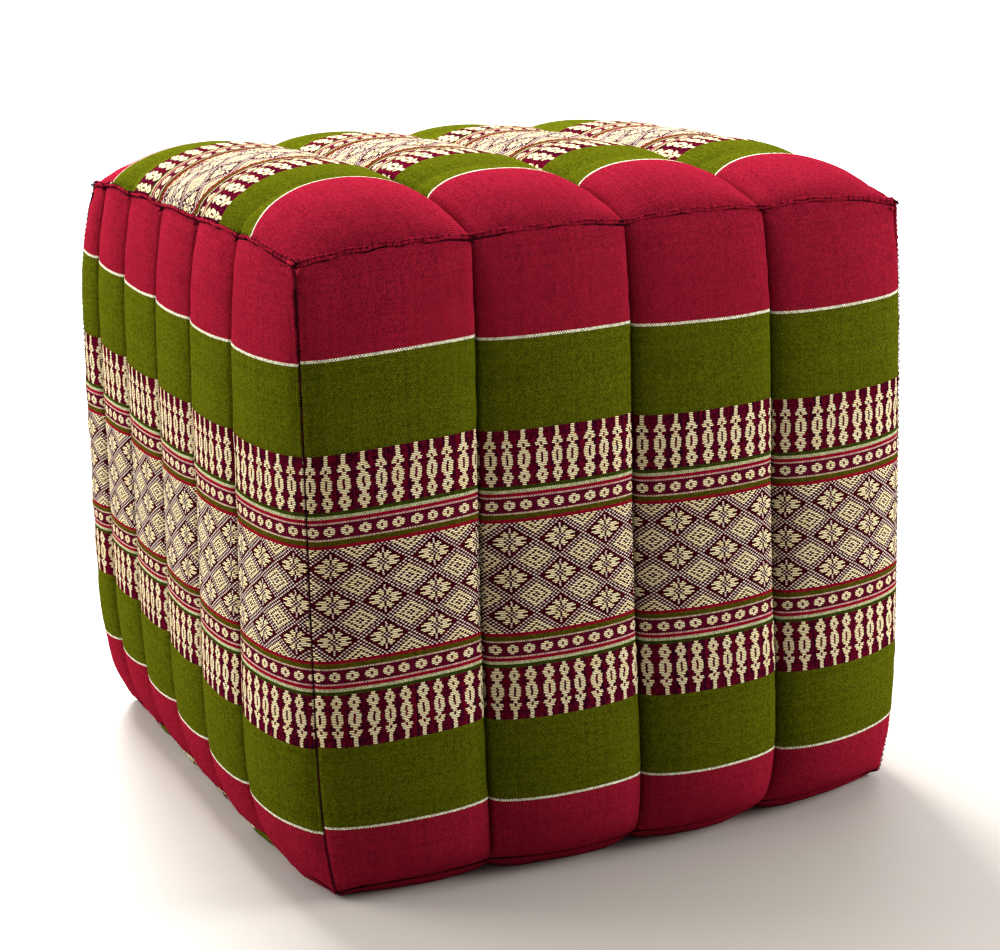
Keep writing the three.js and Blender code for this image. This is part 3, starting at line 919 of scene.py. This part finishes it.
def add_piece(name, parts, slot, nodes=()):
    all_points, all_faces, all_cloth, start = [], [], [], 0
    for p, faces, on_cloth in parts:
        all_points.append(p)
        all_cloth.append(on_cloth)
        all_faces.extend(tuple(k + start for k in face) for face in faces)
        start += len(p)
    data = bpy.data.meshes.new(name)
    data.from_pydata(np.concatenate(all_points).tolist(), [], all_faces)
    data.polygons.foreach_set("use_smooth", [True] * len(data.polygons))
    if slot == "cloth":
        corners = np.zeros(len(data.loops), int)
        data.loops.foreach_get("vertex_index", corners)
        layer = data.uv_layers.new(name="Cloth")
        layer.data.foreach_set("uv", np.concatenate(all_cloth)[corners].astype(np.float32).ravel())
    data.materials.append(MATERIALS[slot])
    piece = bpy.data.objects.new(name, data)
    bpy.context.scene.collection.objects.link(piece)
    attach(piece, "root")
    if nodes:
        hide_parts(*nodes)


top_edges, top_threads_and_shade, low_threads, upright_edges, upright_threads_and_shade, ends = [], [], [], [], [], []
for n, name in enumerate(RING):
    edges, threads = raised_seam("top", name, SEEDS["top"] + 20 * n)
    top_edges += edges
    top_threads_and_shade += threads
    winding = (-1, UPRIGHT_WINDING) if n else (NEAR_WOUND_FROM, NEAR_WINDING)
    edges, threads = drawn_seam(name, RING[n - 1], SEEDS["upright"] + 20 * n, *winding)
    upright_edges += edges
    upright_threads_and_shade += threads
    low_threads += foot_seam(name, n)
    ends += top_knots(name, n)
for n, (x, y) in enumerate(((-1, -1), (1, -1), (1, 1), (-1, 1))):
    place = points[lattice[0 if x < 0 else STEPS[0], 0 if y < 0 else STEPS[1], STEPS[2]]]
    threads, bunched = corner_ends(place, x, y, n)
    ends += threads
    top_edges += bunched

add_piece("channel_stitches_and_shade", channel_rows(), "thread")
add_piece("raw_edges_top", top_edges, "cloth")
add_piece("folds_upright", upright_edges, "cloth")
add_piece("overlock_top_and_shade", top_threads_and_shade + ends, "thread", ["seam_top_" + name for name in RING])
add_piece("overlock_foot", low_threads, "thread", ["seam_bottom_" + name for name in RING])
add_piece("overlock_uprights_and_shade", upright_threads_and_shade, "thread",
          ["seam_front_right", "seam_right_back", "seam_back_left", "seam_left_front"])

# Floor, light and camera
FLOOR_REACH, FLOOR_BEHIND, FLOOR_TURN = 7.0, 1.0, math.radians(-26.2)
FLOOR_COLOUR, FLOOR_ROUGHNESS = (0.40, 0.365, 0.33, 1), 0.6
DIM, BRIGHT = 0.27, 2.4  # light from the front and from behind
GLOW_FROM, GLOW_TO = -0.4, 0.6  # how far round behind it rises, from -1 in front to 1
LAMPS = {  # place, the point it faces and the side of its square in metres, and watts
    "from_left": ((-1.7, 1.4, 1.2), (0, 0, 0.2), 1.2, 47),
    "from_right": ((2.2, -1.0, 1.1), (0, 0, 0.2), 1.0, 85),
    "from_above": ((0.2, 1.8, 1.9), (0, 0, 0.3), 1.2, 190),
}
CAMERA_PLACE = (-686.7, -1437.9, 585.1)  # in millimetres, from the middle of the four corners
CAMERA_AHEAD, CAMERA_RIGHT = (0.42731, 0.87003, -0.24588), (0.89470, -0.44606, -0.02350)
CAMERA_LENS, CAMERA_WIDTH = 91.25, 36

floor_material = bpy.data.materials.new("pale_floor")
floor_material.use_nodes = True
floor_shader = floor_material.node_tree.nodes["Principled BSDF"]
floor_shader.inputs["Base Color"].default_value = FLOOR_COLOUR
floor_shader.inputs["Roughness"].default_value = FLOOR_ROUGHNESS
bpy.ops.mesh.primitive_plane_add(size=2 * FLOOR_REACH, rotation=(0, 0, FLOOR_TURN))
floor = bpy.context.object
floor.name = "floor"
floor.location = Matrix.Rotation(FLOOR_TURN, 3, "Z") @ Vector((0, FLOOR_BEHIND - FLOOR_REACH, 0))
floor.data.materials.append(floor_material)

bpy.context.scene.view_settings.view_transform = "Standard"
world = bpy.data.worlds.new("studio")
bpy.context.scene.world = world
world.use_nodes = True
sky = world.node_tree
behind = sky.nodes.new("ShaderNodeVectorMath")
behind.operation = "DOT_PRODUCT"
behind.inputs[1].default_value = (0.0, 1.0, 0.0)
sky.links.new(sky.nodes.new("ShaderNodeTexCoord").outputs["Generated"], behind.inputs[0])
glow = sky.nodes.new("ShaderNodeMapRange")
glow.interpolation_type = "SMOOTHSTEP"
for socket, value in zip(glow.inputs[1:], (GLOW_FROM, GLOW_TO, DIM, BRIGHT)):
    socket.default_value = value
sky.links.new(behind.outputs["Value"], glow.inputs[0])
sky.nodes["Background"].inputs[0].default_value = (1, 1, 1, 1)
sky.links.new(glow.outputs[0], sky.nodes["Background"].inputs[1])

for name, (lamp_place, aim, size, watts) in LAMPS.items():
    data = bpy.data.lights.new(name, "AREA")
    data.shape = "SQUARE"
    data.size, data.energy = size, watts
    lamp = bpy.data.objects.new(name, data)
    bpy.context.scene.collection.objects.link(lamp)
    lamp.location = lamp_place
    lamp.rotation_euler = (Vector(aim) - Vector(lamp_place)).to_track_quat("-Z", "Y").to_euler()

ahead = Vector(CAMERA_AHEAD).normalized()
right = Vector(CAMERA_RIGHT)
right = (right - ahead * right.dot(ahead)).normalized()
turned = Matrix((right, right.cross(ahead), -ahead)).transposed().to_4x4()
camera_data = bpy.data.cameras.new("camera")
camera_data.sensor_width = CAMERA_WIDTH
camera_data.lens = CAMERA_LENS
camera = bpy.data.objects.new("camera", camera_data)
bpy.context.scene.collection.objects.link(camera)
camera.matrix_world = Matrix.Translation(Vector((np.array(CAMERA_PLACE) - middle) * MM)) @ turned
bpy.context.scene.camera = camera
